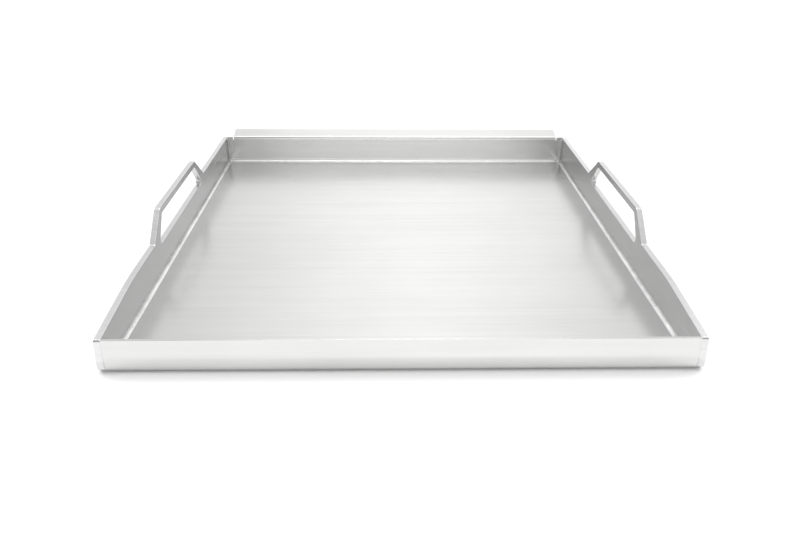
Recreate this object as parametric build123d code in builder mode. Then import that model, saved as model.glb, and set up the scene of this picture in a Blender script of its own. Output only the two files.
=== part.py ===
from build123d import *
from math import cos, radians, sin, tan
import os

os.makedirs("parts", exist_ok=True)

# Flat griddle pan: one bent sheet, closed at both ends by thick side plates that carry the handles.
# +X is to the right, +Y is towards the back and +Z is up. The origin is on the resting face, in the
# middle between the two plates and halfway along them.

# ---- overall sizes, mm ----
overall_width = 500.0  # across the outer faces of the side plates
plate_length = 505.0  # front to back
rear_height = 39.0  # side plates and back wall
front_height = 31.0  # side plates and front wall at the front end

# ---- stock ----
plate_thickness = 6.0
sheet_thickness = 3.0

# ---- pan sheet; bend radii are those of the cooking side ----
wall_setback = 0.5  # walls behind the ends of the side plates
front_toe_radius = 3.0  # floor to front wall
rear_toe_radius = 4.0  # floor to back wall
crease_height = 14.0  # where the front wall starts to lean back
crease_radius = 8.0
front_lean = 10.0  # degrees from upright
lip_bend_radius = 5.0  # back wall to rear lip
lip_rise = 20.0  # degrees above the level
lip_flat = 16.5  # behind its bend
lip_inset = 9.0  # lip ends, from the side plates
lip_corner_radius = 2.5
relief_width = 1.0  # slot between each lip end and the wall tab beside it
relief_depth = 1.0  # below the start of the lip bend
sheet_edge_round = 0.4

# ---- side plates ----
front_slope_run = 88.0  # length over which the top edge drops to the front height
front_slope_radius = 300.0  # where the drop begins
front_toe_cut = 4.5
plate_corner_radius = 2.0
plate_edge_round = 0.6

# ---- handles, cut from the side plates ----
handle_offset = 4.0  # behind the middle of the plate
handle_height = 66.0
foot_half = 101.0  # half length where the legs leave the plate
bar_half = 70.0  # half length of the straight bar
slot_floor_height = 31.5
slot_top_height = 59.0
slot_floor_half = 87.5
slot_top_half = 66.5
bar_corner_radius = 5.0
foot_corner_radius = 3.0
slot_corner_radius = 4.5

# ---- welds ----
weld_leg = 3.0
weld_hollow = 0.35  # how far the face of the bead dips below a straight one
weld_end_gap = 1.5  # the upright beads stop this far below the edge of the wall

# ---- places ----
front_y = -plate_length / 2
rear_y = plate_length / 2
inner_half = overall_width / 2 - plate_thickness
front_wall_y = front_y + wall_setback + sheet_thickness
rear_wall_y = rear_y - wall_setback - sheet_thickness
front_toe_end = front_wall_y + front_toe_radius  # the floor is flat between the two toe ends
rear_toe_end = rear_wall_y - rear_toe_radius
lip_bend_start = rear_height - lip_bend_radius * tan(radians(90 - lip_rise) / 2)
front_edge_z = front_height - sheet_thickness * sin(radians(front_lean))
# Above their own fold, the front ends of the plates lie in one plane with the leaning part of the wall.
crease_corner = crease_height + crease_radius * tan(radians(front_lean) / 2)
setback_at_lean = wall_setback + sheet_thickness * (1 - cos(radians(front_lean)))
sheet_overhang = setback_at_lean / tan(radians(front_lean))
plate_fold_z = crease_corner + sheet_thickness * sin(radians(front_lean)) - sheet_overhang
plate_top_y = front_y + (front_height - plate_fold_z) * tan(radians(front_lean))


# The cooking side of the sheet as seen from the left end, in Y and Z.
def front_wall_line(top_gap=0.0):
    """Bend from the floor into the front wall, then the wall up to its top edge."""
    toe = JernArc((front_toe_end, sheet_thickness), (-1, 0), front_toe_radius, -90)
    Line(toe @ 1, (front_wall_y, crease_height))
    crease = JernArc((front_wall_y, crease_height), (0, 1), crease_radius, -front_lean)
    rise = front_edge_z - top_gap - (crease @ 1).Y
    PolarLine(crease @ 1, rise / cos(radians(front_lean)), 90 - front_lean)


def rear_wall_line(top_z):
    """Bend from the floor into the back wall, then the wall up to a height."""
    toe = JernArc((rear_toe_end, sheet_thickness), (1, 0), rear_toe_radius, 90)
    Line(toe @ 1, (rear_wall_y, top_z))


# ---- pan sheet ----
with BuildPart() as pan_sheet:
    with BuildSketch(Plane.YZ.offset(-inner_half)):
        with BuildLine():
            front_wall_line()
            Line((front_toe_end, sheet_thickness), (rear_toe_end, sheet_thickness))
            rear_wall_line(lip_bend_start)
            lip_bend = JernArc((rear_wall_y, lip_bend_start), (0, 1), lip_bend_radius, lip_rise - 90)
            PolarLine(lip_bend @ 1, lip_flat, lip_rise)
            offset(amount=sheet_thickness, side=Side.LEFT, closed=True)
        make_face()
    extrude(amount=2 * inner_half)

    # The lip is shorter than the wall. Each end is cut away down to the foot of the relief slot, and
    # a tab of upright wall fills the space between the slot and the side plate.
    relief_foot = lip_bend_start - relief_depth
    lip_reach = lip_bend_radius + lip_flat + sheet_thickness
    tab_width = lip_inset - relief_width
    for side in (-1, 1):
        with BuildSketch(Plane.XY.offset(relief_foot)):
            with Locations((side * (inner_half - lip_inset / 2), rear_wall_y + lip_reach / 2)):
                Rectangle(lip_inset, lip_reach)
        extrude(amount=rear_height, mode=Mode.SUBTRACT)
        with BuildSketch(Plane.XY.offset(relief_foot)):
            with Locations((side * (inner_half - tab_width / 2), rear_wall_y + sheet_thickness / 2)):
                Rectangle(tab_width, sheet_thickness)
        extrude(amount=rear_height - relief_foot)

    fillet(edges().filter_by(Plane.YZ).group_by(Axis.Y)[-1], lip_corner_radius)
    lengthwise = edges().filter_by(Axis.X)
    lip_tip = lengthwise.filter_by(lambda edge: edge.center().Y > rear_y + lip_bend_radius)
    front_edge = lengthwise.filter_by(lambda edge: edge.center().Y < 0 and edge.center().Z > front_edge_z - 0.1)
    fillet(lip_tip + front_edge, sheet_edge_round)
pan_sheet.part.label = "pan_sheet"


# ---- side plate with its handle ----
with BuildPart() as side_plate_left:
    with BuildSketch(Plane.YZ.offset(-overall_width / 2)):
        with BuildLine():
            Polyline(
                (front_y + front_toe_cut, 0),
                (front_y, front_toe_cut),
                (front_y, plate_fold_z),
                (plate_top_y, front_height),
                (front_y + front_slope_run, rear_height),
                (handle_offset - foot_half, rear_height),
                (handle_offset - bar_half, handle_height),
                (handle_offset + bar_half, handle_height),
                (handle_offset + foot_half, rear_height),
                (rear_y, rear_height),
                (rear_y, 0),
                close=True,
            )
        make_face()
        fillet(vertices().group_by(Axis.Y)[-1], bar_corner_radius)
        feet = vertices().filter_by(lambda corner: abs(abs(corner.X - handle_offset) - foot_half) < 0.01)
        fillet(feet, foot_corner_radius)
        slope_top = vertices().filter_by(lambda corner: abs(corner.X - front_y - front_slope_run) < 0.01)
        fillet(slope_top, front_slope_radius)
        upper = vertices().filter_by(lambda corner: corner.Y > front_height - 0.1).sort_by(Axis.X)
        fillet([upper[0], upper[-1]], plate_corner_radius)
    extrude(amount=plate_thickness)

    with BuildSketch(Plane.YZ.offset(-overall_width / 2)):
        with BuildLine():
            Polyline(
                (handle_offset - slot_floor_half, slot_floor_height),
                (handle_offset - slot_top_half, slot_top_height),
                (handle_offset + slot_top_half, slot_top_height),
                (handle_offset + slot_floor_half, slot_floor_height),
                close=True,
            )
        make_face()
        fillet(vertices(), slot_corner_radius)
    extrude(amount=plate_thickness, mode=Mode.SUBTRACT)

    fillet(faces().filter_by(Axis.X).edges(), plate_edge_round)
side_plate_left.part.label = "side_plate_left"


# ---- weld beads along the left plate ----
def bead_section(along):
    """Section of a bead in the corner between the left plate and the floor, at a place along the pan."""
    hollow = weld_leg / 2 - weld_hollow
    with BuildSketch(Plane.XZ.offset(-along)) as section:
        with BuildLine():
            Polyline(
                (-inner_half + weld_leg, sheet_thickness),
                (-inner_half, sheet_thickness),
                (-inner_half, sheet_thickness + weld_leg),
            )
            ThreePointArc(
                (-inner_half, sheet_thickness + weld_leg),
                (-inner_half + hollow, sheet_thickness + hollow),
                (-inner_half + weld_leg, sheet_thickness),
            )
        make_face()
    return section.sketch


left_seam = Plane.YZ.offset(-inner_half)

with BuildPart() as floor_weld_left:
    extrude(bead_section(front_toe_end), amount=rear_toe_end - front_toe_end, dir=(0, 1, 0))
floor_weld_left.part.label = "floor_weld_left"

with BuildLine() as front_corner_run:
    front_wall_line(weld_end_gap)
with BuildPart() as front_corner_weld_left:
    sweep(bead_section(front_toe_end), path=left_seam * front_corner_run.line)
front_corner_weld_left.part.label = "front_corner_weld_left"

with BuildLine() as back_corner_run:
    rear_wall_line(rear_height - weld_end_gap)
with BuildPart() as back_corner_weld_left:
    sweep(bead_section(rear_toe_end), path=left_seam * back_corner_run.line)
back_corner_weld_left.part.label = "back_corner_weld_left"


# ---- write the pieces; the right-hand ones mirror the left ----
export_step(pan_sheet.part, "parts/pan_sheet.step")
for left_piece in (
    side_plate_left,
    floor_weld_left,
    front_corner_weld_left,
    back_corner_weld_left,
):
    with BuildPart() as right_piece:
        mirror(left_piece.part, about=Plane.YZ)
    right_piece.part.label = left_piece.part.label.replace("left", "right")
    for piece in (left_piece, right_piece):
        export_step(piece.part, f"parts/{piece.part.label}.step")
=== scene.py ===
"""Looks for a welded steel griddle pan: an add-on that runs as a script around the pan's fixed frame."""

import math

import bmesh
import bpy
from bpy.props import FloatProperty, FloatVectorProperty, IntProperty, PointerProperty
from mathutils import Matrix, Vector


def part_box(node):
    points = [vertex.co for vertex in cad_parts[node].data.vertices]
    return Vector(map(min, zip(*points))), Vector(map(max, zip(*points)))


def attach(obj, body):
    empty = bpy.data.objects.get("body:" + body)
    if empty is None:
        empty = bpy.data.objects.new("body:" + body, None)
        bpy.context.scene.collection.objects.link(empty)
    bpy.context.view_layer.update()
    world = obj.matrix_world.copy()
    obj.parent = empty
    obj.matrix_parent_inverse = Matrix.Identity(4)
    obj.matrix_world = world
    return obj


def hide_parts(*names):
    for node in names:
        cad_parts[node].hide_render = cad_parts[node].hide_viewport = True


bl_info = {
    "name": "Welded Griddle Pan",
    "version": (1, 0, 0),
    "blender": (4, 5, 0),
    "location": "3D View > Sidebar > Griddle Pan",
    "description": "Brushed steel finishes, weld beads and a studio for a flat griddle pan",
    "category": "Object",
}

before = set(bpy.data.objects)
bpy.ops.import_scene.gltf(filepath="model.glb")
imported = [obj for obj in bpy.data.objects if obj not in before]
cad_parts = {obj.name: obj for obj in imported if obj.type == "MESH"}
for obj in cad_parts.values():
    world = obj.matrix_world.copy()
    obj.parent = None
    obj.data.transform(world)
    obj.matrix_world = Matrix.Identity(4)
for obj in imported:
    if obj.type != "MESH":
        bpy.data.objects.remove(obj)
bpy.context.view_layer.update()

ALONG_X, ALONG_Y = 0, 1
SIDES = ("left", "right")
MM = 0.001

# The fold across the front wall, which the frame's boxes don't tell.
FOLD_HEIGHT = 14.7 * MM
FOLD_RADIUS = 8.0 * MM
FOLD_LEAN = math.radians(10.0)

WELD_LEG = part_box("floor_weld_left")[1][2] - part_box("floor_weld_left")[0][2]

# How finely a weld bead is made.
BEAD_STEP = 0.5 * MM
BEND_STEPS = 14
HOLLOW_STEPS = 6
MERGE_DISTANCE = 0.002 * MM
SHARP_ANGLE = math.radians(30.0)

# The hollow's radius as a share of the leg, cycles of drift a metre, and where a taper would reach zero.
HOLLOW_RADIUS = 1.4
DRIFT_CYCLES = 60.0
TAPER_START = -0.3 * MM

# Brushed lines, in cycles a metre: along them, and across them on sheet and plate alike.
SHEET_HAIRS_ALONG = 9.0
PLATE_HAIRS_ALONG = 10.0
HAIRS_ACROSS = 1500.0

# Between these parts of the way from straight in front to straight behind, the room goes from dim to bright.
ROOM_SHADE = (-0.6, -0.1)
BOARD_REACH = 6.0
PANEL_PLACE = (0.05, -2.2, 0.6)
PANEL_SIZE = (1.4, 1.2)


# ---------------------------------------------------------------- node trees


class Wire:
    """A socket in a node tree. Arithmetic on it adds the Math nodes that it needs."""

    def __init__(self, tree, socket=None):
        self.tree = tree
        self.socket = socket

    def node(self, kind, inputs=None, output=0, **settings):
        """Add a node: its settings first, then the values or wires of its inputs. Returns one output."""
        made = self.tree.nodes.new(kind)
        for name, value in settings.items():
            setattr(made, name, value)
        for key, value in (inputs or {}).items():
            if isinstance(value, Wire):
                self.tree.links.new(value.socket, made.inputs[key])
            else:
                made.inputs[key].default_value = value
        return Wire(self.tree, made.outputs[output] if made.outputs else None)

    def out(self, name):
        """Another output of the node that this wire leaves."""
        return Wire(self.tree, self.socket.node.outputs[name])

    def math(self, operation, *values):
        """A Math node on these values or wires."""
        return self.node("ShaderNodeMath", dict(enumerate(values)), operation=operation)

    def __add__(self, other):
        return self.math("ADD", self, other)

    def __sub__(self, other):
        return self.math("SUBTRACT", self, other)

    def __rsub__(self, other):
        return self.math("SUBTRACT", other, self)

    def __mul__(self, other):
        return self.math("MULTIPLY", self, other)

    def __truediv__(self, other):
        return self.math("DIVIDE", self, other)

    __radd__ = __add__
    __rmul__ = __mul__

    def size(self):
        """The value without its sign."""
        return self.math("ABSOLUTE", self)

    def ramp(self, low, high):
        """0 below low, 1 above high and smooth between them."""
        ends = {"Value": self, "From Min": low, "From Max": high}
        return self.node("ShaderNodeMapRange", ends, interpolation_type="SMOOTHSTEP")

    def noise(self, scale, detail=2.0, roughness=0.5):
        """Smooth noise, around a half, over a place times a scale for each axis."""
        place = self.node("ShaderNodeVectorMath", {0: self, 1: scale}, operation="MULTIPLY")
        inputs = {"Vector": place, "Scale": 1.0, "Detail": detail, "Roughness": roughness}
        return self.node("ShaderNodeTexNoise", inputs)

    def blend(self, first, second):
        """The first colour where this value is 0, and the second where it is 1."""
        return self.node("ShaderNodeMix", {0: self, 6: first, 7: second}, output=2, data_type="RGBA")

    def bump(self, depth, under=None):
        """Heights from 0 to 1 as a change of normal, over a depth in metres and over a bump under it."""
        inputs = {"Height": self, "Strength": 1.0, "Distance": depth}
        if under is not None:
            inputs["Normal"] = under
        return self.node("ShaderNodeBump", inputs)


def tone(colour, factor):
    """A plain colour made lighter or darker, with its alpha."""
    return (*(min(part * factor, 1.0) for part in colour), 1.0)


def grain(axis, along, across):
    """The scale of a pattern that is drawn out along one axis, in cycles a metre."""
    scale = [across] * 3
    scale[axis] = along
    return tuple(scale)


def new_material(name):
    """A material without nodes, and a wire to start its tree from."""
    material = bpy.data.materials.new(name)
    material.use_nodes = True
    material.node_tree.nodes.clear()
    return material, Wire(material.node_tree)


def finish_material(start, colour, roughness, normal=None, metallic=1.0):
    """Close a material's tree with its surface."""
    inputs = {"Base Color": colour, "Metallic": metallic, "Roughness": roughness}
    if normal is not None:
        inputs["Normal"] = normal
    surface = start.node("ShaderNodeBsdfPrincipled", inputs)
    start.node("ShaderNodeOutputMaterial", {"Surface": surface})


# ---------------------------------------------------------------- materials


def sheet_material(look):
    """Thin sheet, brushed from side to side, a little cloudy and not quite flat."""
    material, start = new_material("brushed_sheet_steel")
    place = start.node("ShaderNodeTexCoord", output="Object")
    hairs = place.noise(grain(ALONG_X, SHEET_HAIRS_ALONG, HAIRS_ACROSS), 3.0, 0.6)
    streaks = place.noise(grain(ALONG_X, 4.0, 160.0))
    clouds = place.noise((9.0, 9.0, 9.0), 3.0, 0.55)
    swell = place.noise((5.0, 7.0, 9.0), 1.0)

    mottle = (hairs * 0.35 + streaks * 0.3 + clouds * 0.35).ramp(0.3, 0.7)
    colour = mottle.blend(tone(look.sheet_colour, 0.95), tone(look.sheet_colour, 1.04))
    roughness = (hairs - 0.5) * 0.03 + (clouds - 0.5) * 0.04 + look.sheet_roughness
    normal = hairs.bump(look.grain_depth, swell.bump(look.swell))
    finish_material(start, colour, roughness, normal)
    return material


def plate_material(look):
    """Thick plate, brushed along its length, with ground cut edges and arrises worn smooth."""
    material, start = new_material("brushed_plate_steel")
    coordinates = start.node("ShaderNodeTexCoord", output="Object")
    facing = start.node("ShaderNodeSeparateXYZ", {0: coordinates.out("Normal")}).size()
    edge = 1.0 - facing.ramp(0.55, 0.98)
    arris = facing.ramp(0.08, 0.3) * (1.0 - facing.ramp(0.8, 0.98))

    hairs = coordinates.noise(grain(ALONG_Y, PLATE_HAIRS_ALONG, HAIRS_ACROSS), 3.0, 0.6)
    clouds = coordinates.noise((12.0, 8.0, 12.0), 3.0, 0.55)
    cut_marks = coordinates.noise((60.0, 1100.0, 500.0))

    mottle = (hairs * 0.6 + clouds * 0.4).ramp(0.3, 0.7)
    face = mottle.blend(tone(look.plate_colour, 0.94), tone(look.plate_colour, 1.04))
    ground = cut_marks.ramp(0.35, 0.65).blend(tone(look.edge_colour, 0.93), tone(look.edge_colour, 1.03))
    colour = edge.blend(face, ground)
    roughness = (hairs - 0.5) * 0.04 + (clouds - 0.5) * 0.06 - arris * 0.08 + look.plate_roughness
    height = hairs * (1.0 - edge) + cut_marks * edge * 0.6
    finish_material(start, colour, roughness, height.bump(look.grain_depth))
    return material


def bead_material(look):
    """Weld metal, brushed clean, with fine marks across it and dull patches."""
    material, start = new_material("polished_weld_steel")
    place = start.node("ShaderNodeTexCoord", output="Object")
    patches = place.noise((60.0, 60.0, 60.0))
    marks = place.noise((700.0, 700.0, 700.0))
    colour = patches.ramp(0.35, 0.7).blend(tone(look.colour, 0.9), tone(look.colour, 1.05))
    roughness = (patches - 0.5) * 0.2 + (marks - 0.5) * 0.1 + look.roughness
    finish_material(start, colour, roughness, marks.bump(0.01 * MM))
    return material


def board_material(colour):
    """Matt pale board with the faintest unevenness."""
    material, start = new_material("pale_board")
    place = start.node("ShaderNodeTexCoord", output="Object")
    mottle = place.noise((3.0, 3.0, 3.0)).ramp(0.2, 0.8)
    shade = mottle.blend(tone(colour, 0.99), tone(colour, 1.0))
    finish_material(start, shade, 0.9, metallic=0.0)
    return material


def give_material(node, material):
    """Put one material in every slot of a node of the frame."""
    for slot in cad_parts[node].material_slots:
        slot.material = material


# ---------------------------------------------------------------- weld beads


def seam_points(weld):
    """The corners that a weld's seam turns at, in Y and Z, each with the radius of its bend.

    A seam up a wall starts at its top. Its own node's box tells where it runs.
    """
    low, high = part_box(weld)
    floor = low[2]
    if weld.startswith("floor"):
        return [(low[1], floor, 0.0), (high[1], floor, 0.0)]
    bend = high[1] - low[1]
    if weld.startswith("back"):
        return [(high[1], high[2], 0.0), (high[1], floor, bend), (low[1], floor, 0.0)]
    lean = (high[2] - FOLD_HEIGHT) * math.tan(FOLD_LEAN)
    return [
        (low[1] + lean, high[2], 0.0),
        (low[1], FOLD_HEIGHT, FOLD_RADIUS),
        (low[1], floor, bend),
        (high[1], floor, 0.0),
    ]


def bead_tree():
    """Geometry nodes that lay a hollow bead along a seam, rippled, slowly drifting in size and tapered."""
    tree = bpy.data.node_groups.new("weld_bead", "GeometryNodeTree")
    sockets = tree.interface.new_socket
    sockets("Seam", in_out="INPUT", socket_type="NodeSocketGeometry")
    numbers = ("Leg", "Dip", "Bow", "Step", "Ripple Pitch", "Ripple", "Drift", "Taper", "Seed", "Turn")
    for name in numbers:
        sockets(name, in_out="INPUT", socket_type="NodeSocketFloat")
    sockets("Metal", in_out="INPUT", socket_type="NodeSocketMaterial")
    sockets("Bead", in_out="OUTPUT", socket_type="NodeSocketGeometry")

    given = Wire(tree).node("NodeGroupInput")
    bend = given.node("GeometryNodeInputRadius")
    bent = given.node(
        "GeometryNodeFilletCurve",
        {"Curve": given, "Count": BEND_STEPS, "Radius": bend, "Limit Radius": True},
        mode="POLY",
    )
    pace = {"Curve": bent, "Length": given.out("Step")}
    even = given.node("GeometryNodeResampleCurve", pace, mode="LENGTH")
    across = given.node("ShaderNodeCombineXYZ", {"X": 1.0})
    aimed = given.node("GeometryNodeSetCurveNormal", {"Curve": even, "Normal": across}, mode="FREE")

    # The section has a leg on the plate, a leg on the sheet and a hollow face between them.
    leg = given.out("Leg")
    dip = given.out("Dip")
    turn = given.out("Turn")
    bow = given.out("Bow")
    corners = {
        "Point 1": given.node("ShaderNodeCombineXYZ", {}),
        "Point 2": given.node("ShaderNodeCombineXYZ", {"X": leg * turn}),
        "Point 3": given.node("ShaderNodeCombineXYZ", {"X": dip * turn, "Y": dip * bow}),
        "Point 4": given.node("ShaderNodeCombineXYZ", {"Y": leg * bow}),
    }
    outline = given.node("GeometryNodeCurvePrimitiveQuadrilateral", corners, mode="POINTS")
    index = given.node("GeometryNodeInputIndex")
    hollow = index.math("COMPARE", index, 2.0, 0.5) * leg * HOLLOW_RADIUS
    section = given.node(
        "GeometryNodeFilletCurve",
        {"Curve": outline, "Count": HOLLOW_STEPS, "Radius": hollow, "Limit Radius": True},
        mode="POLY",
    )

    # The ripples are even. The drift follows the place, so two beads that meet have the same size there.
    travelled = given.node("GeometryNodeSplineParameter", output="Length")
    phase = travelled * math.tau / given.out("Ripple Pitch")
    ripple = phase.math("SINE", phase)
    place = given.node("GeometryNodeInputPosition")
    drift = given.node(
        "ShaderNodeTexNoise",
        {"Vector": place, "W": given.out("Seed"), "Scale": DRIFT_CYCLES, "Detail": 2.0},
        noise_dimensions="4D",
    )
    thickness = 1.0 + ripple * given.out("Ripple") + (drift - 0.5) * given.out("Drift")
    tip = travelled.ramp(TAPER_START, given.out("Taper"))
    swept = given.node(
        "GeometryNodeCurveToMesh",
        {"Curve": aimed, "Profile Curve": section, "Scale": thickness * tip, "Fill Caps": True},
    )
    joined = given.node("GeometryNodeRealizeInstances", {"Geometry": swept})
    coated = given.node("GeometryNodeSetMaterial", {"Geometry": joined, "Material": given.out("Metal")})
    given.node("NodeGroupOutput", {"Bead": coated})
    return tree


def seam_curve(name, side, corners):
    """A curve object along the corners of a seam, which carries each bend's radius."""
    low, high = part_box(f"floor_weld_{side}")
    inner = low[0] if side == "left" else high[0]
    data = bpy.data.curves.new(name, "CURVE")
    data.dimensions = "3D"
    spline = data.splines.new("POLY")
    spline.points.add(len(corners) - 1)
    for point, (y, z, radius) in zip(spline.points, corners):
        point.co = (inner, y, z, 1.0)
        point.radius = radius
    seam = bpy.data.objects.new(name, data)
    bpy.context.scene.collection.objects.link(seam)
    return seam


def lay_bead(weld, side, tree, values):
    """Run the bead's tree on its seam and return the plain mesh piece that results."""
    seam = seam_curve("seam", side, seam_points(weld))
    modifier = seam.modifiers.new("bead", "NODES")
    modifier.node_group = tree
    for item in tree.interface.items_tree:
        if item.in_out == "INPUT" and item.name in values:
            modifier[item.identifier] = values[item.name]
    bpy.context.view_layer.update()
    evaluated = seam.evaluated_get(bpy.context.evaluated_depsgraph_get())
    mesh = bpy.data.meshes.new_from_object(evaluated)
    seam.modifiers.remove(modifier)
    curve = seam.data
    bpy.data.objects.remove(seam)
    bpy.data.curves.remove(curve)
    if not mesh.polygons:
        raise RuntimeError(f"no bead was laid for {weld}")

    shell = bmesh.new()
    shell.from_mesh(mesh)
    bmesh.ops.remove_doubles(shell, verts=shell.verts, dist=MERGE_DISTANCE)
    bmesh.ops.recalc_face_normals(shell, faces=shell.faces)
    for face in shell.faces:
        face.smooth = True
    for edge in shell.edges:
        edge.smooth = edge.calc_face_angle(math.pi) < SHARP_ANGLE
    shell.to_mesh(mesh)
    shell.free()

    piece = bpy.data.objects.new(weld.replace("weld", "bead"), mesh)
    mesh.name = piece.name
    bpy.context.scene.collection.objects.link(piece)
    return piece


# ---------------------------------------------------------------- settings


class SteelLook(bpy.types.PropertyGroup):
    """Colours and grain of the pan sheet and the side plates."""

    sheet_colour: FloatVectorProperty(
        name="Sheet Colour",
        description="Reflection colour of the thin sheet",
        subtype="COLOR",
        default=(0.66, 0.66, 0.655),
        min=0.0,
        max=1.0,
    )
    sheet_roughness: FloatProperty(
        name="Sheet Roughness",
        description="How far the thin sheet spreads what it reflects",
        subtype="FACTOR",
        default=0.25,
        min=0.0,
        max=1.0,
    )
    plate_colour: FloatVectorProperty(
        name="Plate Colour",
        description="Reflection colour of the side plates' faces",
        subtype="COLOR",
        default=(0.55, 0.55, 0.55),
        min=0.0,
        max=1.0,
    )
    edge_colour: FloatVectorProperty(
        name="Edge Colour",
        description="Reflection colour of the side plates' ground edges",
        subtype="COLOR",
        default=(0.68, 0.68, 0.68),
        min=0.0,
        max=1.0,
    )
    plate_roughness: FloatProperty(
        name="Plate Roughness",
        description="How far the side plates spread what they reflect",
        subtype="FACTOR",
        default=0.26,
        min=0.0,
        max=1.0,
    )
    grain_depth: FloatProperty(
        name="Grain Depth",
        description="Depth of the brushed lines",
        subtype="DISTANCE",
        unit="LENGTH",
        default=0.006 * MM,
        min=0.0,
    )
    swell: FloatProperty(
        name="Swell",
        description="How far the thin sheet is from flat over a hand's breadth",
        subtype="DISTANCE",
        unit="LENGTH",
        default=0.5 * MM,
        min=0.0,
    )


class BeadLook(bpy.types.PropertyGroup):
    """Size, unevenness and colour of the weld beads."""

    colour: FloatVectorProperty(
        name="Colour",
        description="Reflection colour of the weld metal",
        subtype="COLOR",
        default=(0.72, 0.72, 0.715),
        min=0.0,
        max=1.0,
    )
    roughness: FloatProperty(
        name="Roughness",
        description="How far the weld metal spreads what it reflects",
        subtype="FACTOR",
        default=0.3,
        min=0.0,
        max=1.0,
    )
    leg: FloatProperty(
        name="Leg",
        description="How far the bead reaches over the sheet and up the plate",
        subtype="DISTANCE",
        unit="LENGTH",
        default=WELD_LEG,
        min=0.0,
    )
    dip: FloatProperty(
        name="Dip",
        description="Where the slopes of the hollow face would meet, from the seam",
        subtype="DISTANCE",
        unit="LENGTH",
        default=0.76 * MM,
        min=0.0,
    )
    pitch: FloatProperty(
        name="Ripple Pitch",
        description="Distance from one ripple of the bead to the next",
        subtype="DISTANCE",
        unit="LENGTH",
        default=2.4 * MM,
        min=0.1 * MM,
    )
    ripple: FloatProperty(
        name="Ripple",
        description="How much the bead's size changes in a ripple, as a share of it",
        subtype="FACTOR",
        default=0.03,
        min=0.0,
        max=1.0,
    )
    drift: FloatProperty(
        name="Drift",
        description="How much the bead's size wanders, as a share of it",
        subtype="FACTOR",
        default=0.25,
        min=0.0,
        max=1.0,
    )
    taper: FloatProperty(
        name="Taper",
        description="Length over which a bead fades out at the top of a wall",
        subtype="DISTANCE",
        unit="LENGTH",
        default=3.0 * MM,
        min=0.0,
    )
    seed: IntProperty(
        name="Seed",
        description="Choice of the unevenness",
        default=4,
        min=0,
    )


class StudioLook(bpy.types.PropertyGroup):
    """The floor, the lights and the camera."""

    board_colour: FloatVectorProperty(
        name="Board Colour",
        description="Colour of the board that the pan stands on",
        subtype="COLOR",
        default=(0.95, 0.95, 0.95),
        min=0.0,
        max=1.0,
    )
    room_centre: FloatProperty(
        name="Room Light at the Centre",
        description="Strength of the room's light straight in front of the pan, above it and behind it",
        default=1.4,
        min=0.0,
    )
    room_sides: FloatProperty(
        name="Room Light at the Sides",
        description="Strength of the room's light at the left and the right",
        default=0.9,
        min=0.0,
    )
    room_turn: FloatProperty(
        name="Room Turn",
        description="How far to the right the brightest part of the room is",
        subtype="FACTOR",
        default=0.05,
        min=-1.0,
        max=1.0,
    )
    room_reach: FloatProperty(
        name="Room Reach",
        description="How far aside the centre's light reaches before it has faded to that of the sides",
        subtype="FACTOR",
        default=0.42,
        min=0.01,
        max=1.0,
    )
    room_front: FloatProperty(
        name="Room Front Share",
        description="Light from the half of the room that the pan's front faces, as a share of that behind",
        subtype="FACTOR",
        default=0.45,
        min=0.0,
        max=1.0,
    )
    overhead: FloatProperty(
        name="Overhead Light",
        description="Strength of the soft light from straight above",
        default=0.5,
        min=0.0,
    )
    key: FloatProperty(
        name="Rear Lights",
        description="Strength of each of the two lights from behind, on the left and on the right",
        default=0.9,
        min=0.0,
    )
    key_turn: FloatProperty(
        name="Rear Light Turn",
        description="How far aside from straight behind each rear light stands",
        subtype="ANGLE",
        default=math.radians(60.0),
    )
    key_height: FloatProperty(
        name="Rear Light Height",
        description="Angle of each rear light above the level",
        subtype="ANGLE",
        default=math.radians(42.0),
    )
    key_spread: FloatProperty(
        name="Light Spread",
        description="How wide the overhead light and each rear light look",
        subtype="ANGLE",
        default=math.radians(25.0),
        min=0.0,
    )
    front: FloatProperty(
        name="Front Panel",
        description="Power of the panel in front of the pan, which its back wall reflects",
        unit="POWER",
        default=6.0,
        min=0.0,
    )
    lens: FloatProperty(
        name="Lens",
        description="Focal length of the camera in millimetres",
        default=30.06,
        min=1.0,
    )
    stand: FloatVectorProperty(
        name="Camera Place",
        description="Where the camera stands",
        subtype="XYZ_LENGTH",
        unit="LENGTH",
        default=(-0.01434, -0.69459, 0.34276),
    )
    tilt: FloatProperty(
        name="Camera Tilt",
        description="Angle that the camera looks down",
        subtype="ANGLE",
        default=math.radians(28.77),
    )
    heading: FloatProperty(
        name="Camera Heading",
        description="Angle that the camera is turned to the right",
        subtype="ANGLE",
        default=math.radians(1.37),
    )
    roll: FloatProperty(
        name="Camera Roll",
        description="Angle that the camera leans about its own line of sight",
        subtype="ANGLE",
        default=math.radians(0.52),
    )


# ---------------------------------------------------------------- operators


class GRIDDLE_OT_pan_sheet(bpy.types.Operator):
    """Give the pan sheet its brushed finish"""

    bl_idname = "griddle.pan_sheet"
    bl_label = "Finish Pan Sheet"

    def execute(self, context):
        give_material("pan_sheet", sheet_material(context.scene.griddle_steel))
        return {"FINISHED"}


class GRIDDLE_OT_side_plates(bpy.types.Operator):
    """Give both side plates their brushed faces and ground edges"""

    bl_idname = "griddle.side_plates"
    bl_label = "Finish Side Plates"

    def execute(self, context):
        material = plate_material(context.scene.griddle_steel)
        for side in SIDES:
            give_material(f"side_plate_{side}", material)
        return {"FINISHED"}


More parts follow.
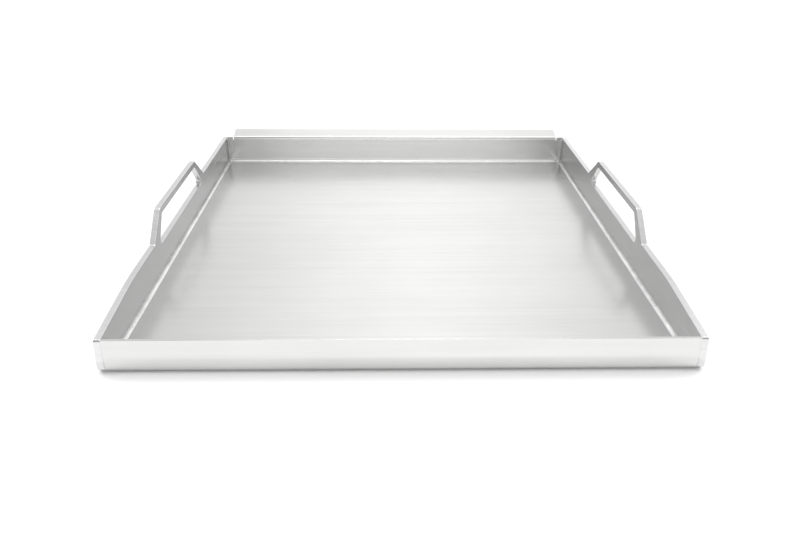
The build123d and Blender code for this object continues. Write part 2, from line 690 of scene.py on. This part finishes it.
class GRIDDLE_OT_weld_beads(bpy.types.Operator):
    """Lay the weld beads along the seams of both side plates"""

    bl_idname = "griddle.weld_beads"
    bl_label = "Lay Weld Beads"

    def execute(self, context):
        look = context.scene.griddle_beads
        metal = bead_material(look)
        tree = bead_tree()
        for number, side in enumerate(SIDES):
            for run in ("floor_weld", "front_corner_weld", "back_corner_weld"):
                weld = f"{run}_{side}"
                values = {
                    "Leg": look.leg,
                    "Dip": look.dip,
                    "Bow": 1.0 if run == "back_corner_weld" else -1.0,
                    "Step": BEAD_STEP,
                    "Ripple Pitch": look.pitch,
                    "Ripple": look.ripple,
                    "Drift": look.drift,
                    "Taper": 0.0 if run == "floor_weld" else look.taper,
                    "Seed": float(look.seed + number),
                    "Turn": 1.0 if side == "left" else -1.0,
                    "Metal": metal,
                }
                bead = lay_bead(weld, side, tree, values)
                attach(bead, "root")
                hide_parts(weld)
        return {"FINISHED"}


class GRIDDLE_OT_studio(bpy.types.Operator):
    """Set up the board, the lights and the camera"""

    bl_idname = "griddle.studio"
    bl_label = "Set Up Studio"

    def execute(self, context):
        look = context.scene.griddle_studio
        self.board(look)
        self.lights(look)
        self.camera(look)
        context.scene.view_settings.view_transform = "Standard"
        return {"FINISHED"}

    def board(self, look):
        """A board far larger than the pan, at its resting face."""
        reach = BOARD_REACH
        mesh = bpy.data.meshes.new("board")
        corners = [(-reach, -reach, 0.0), (reach, -reach, 0.0), (reach, reach, 0.0), (-reach, reach, 0.0)]
        mesh.from_pydata(corners, [], [(0, 1, 2, 3)])
        mesh.materials.append(board_material(look.board_colour))
        board = bpy.data.objects.new("board", mesh)
        bpy.context.scene.collection.objects.link(board)

    def lights(self, look):
        """Light from all round that is strongest behind the pan, three far lights and a panel in front."""
        world = bpy.data.worlds.new("room")
        world.use_nodes = True
        world.node_tree.nodes.clear()
        start = Wire(world.node_tree)
        direction = start.node("ShaderNodeTexCoord", output="Generated")
        across = start.node("ShaderNodeSeparateXYZ", {0: direction}, output="X")
        aside = (across - look.room_turn).size()
        fall = look.room_centre - look.room_sides
        even = look.room_centre - aside.ramp(0.0, look.room_reach) * fall
        behind = across.out("Y").ramp(*ROOM_SHADE)
        strength = even * (behind * (1.0 - look.room_front) + look.room_front)
        glow = start.node("ShaderNodeBackground", {"Color": (1.0, 1.0, 1.0, 1.0), "Strength": strength})
        start.node("ShaderNodeOutputWorld", {"Surface": glow})
        bpy.context.scene.world = world
        upright = math.pi / 2
        self.far_light("overhead", look.overhead, 0.0, upright, look.key_spread)
        self.far_light("rear_left", look.key, look.key_turn, look.key_height, look.key_spread)
        self.far_light("rear_right", look.key, -look.key_turn, look.key_height, look.key_spread)
        self.panel("front_panel", look.front, PANEL_PLACE, PANEL_SIZE)

    def far_light(self, name, strength, turn, height, spread):
        """A distant soft light, turned aside from straight behind the pan and raised above the level."""
        data = bpy.data.lights.new(name, "SUN")
        data.energy = strength
        data.angle = spread
        light = bpy.data.objects.new(name, data)
        tilt = Matrix.Rotation(height - math.pi / 2, 4, "X")
        light.matrix_world = Matrix.Rotation(turn, 4, "Z") @ tilt
        bpy.context.scene.collection.objects.link(light)

    def panel(self, name, power, place, size):
        """A rectangular light at a place, aimed at the pan."""
        data = bpy.data.lights.new(name, "AREA")
        data.shape = "RECTANGLE"
        data.size, data.size_y = size
        data.energy = power
        light = bpy.data.objects.new(name, data)
        light.location = place
        light.rotation_euler = Vector(place).to_track_quat("Z", "Y").to_euler()
        bpy.context.scene.collection.objects.link(light)

    def camera(self, look):
        """The camera, from its place, heading, tilt and roll."""
        data = bpy.data.cameras.new("camera")
        data.lens = look.lens
        camera = bpy.data.objects.new("camera", data)
        turn = Matrix.Rotation(-look.heading, 4, "Z") @ Matrix.Rotation(math.pi / 2 - look.tilt, 4, "X")
        camera.matrix_world = Matrix.Translation(look.stand) @ turn @ Matrix.Rotation(look.roll, 4, "Z")
        bpy.context.scene.collection.objects.link(camera)
        bpy.context.scene.camera = camera


class GRIDDLE_PT_pan(bpy.types.Panel):
    """The steps of the griddle pan, with their settings"""

    bl_idname = "GRIDDLE_PT_pan"
    bl_label = "Griddle Pan"
    bl_space_type = "VIEW_3D"
    bl_region_type = "UI"
    bl_category = "Griddle Pan"

    def draw(self, context):
        steps = (
            (context.scene.griddle_steel, (GRIDDLE_OT_pan_sheet, GRIDDLE_OT_side_plates)),
            (context.scene.griddle_beads, (GRIDDLE_OT_weld_beads,)),
            (context.scene.griddle_studio, (GRIDDLE_OT_studio,)),
        )
        for settings, operators in steps:
            box = self.layout.box()
            for name in settings.__annotations__:
                box.prop(settings, name)
            for operator in operators:
                box.operator(operator.bl_idname)


SETTINGS = {"griddle_steel": SteelLook, "griddle_beads": BeadLook, "griddle_studio": StudioLook}
OPERATORS = (GRIDDLE_OT_pan_sheet, GRIDDLE_OT_side_plates, GRIDDLE_OT_weld_beads, GRIDDLE_OT_studio)


def register():
    """Make the settings, the operators and the panel known."""
    for name, group in SETTINGS.items():
        bpy.utils.register_class(group)
        setattr(bpy.types.Scene, name, PointerProperty(type=group))
    for cls in (*OPERATORS, GRIDDLE_PT_pan):
        bpy.utils.register_class(cls)


def unregister():
    """Take the panel, the operators and the settings away again."""
    for cls in reversed((*OPERATORS, GRIDDLE_PT_pan)):
        bpy.utils.unregister_class(cls)
    for name, group in SETTINGS.items():
        delattr(bpy.types.Scene, name)
        bpy.utils.unregister_class(group)


def main():
    """Make everything in order."""
    register()
    bpy.ops.griddle.pan_sheet()
    bpy.ops.griddle.side_plates()
    bpy.ops.griddle.weld_beads()
    bpy.ops.griddle.studio()


if __name__ == "__main__":
    main()
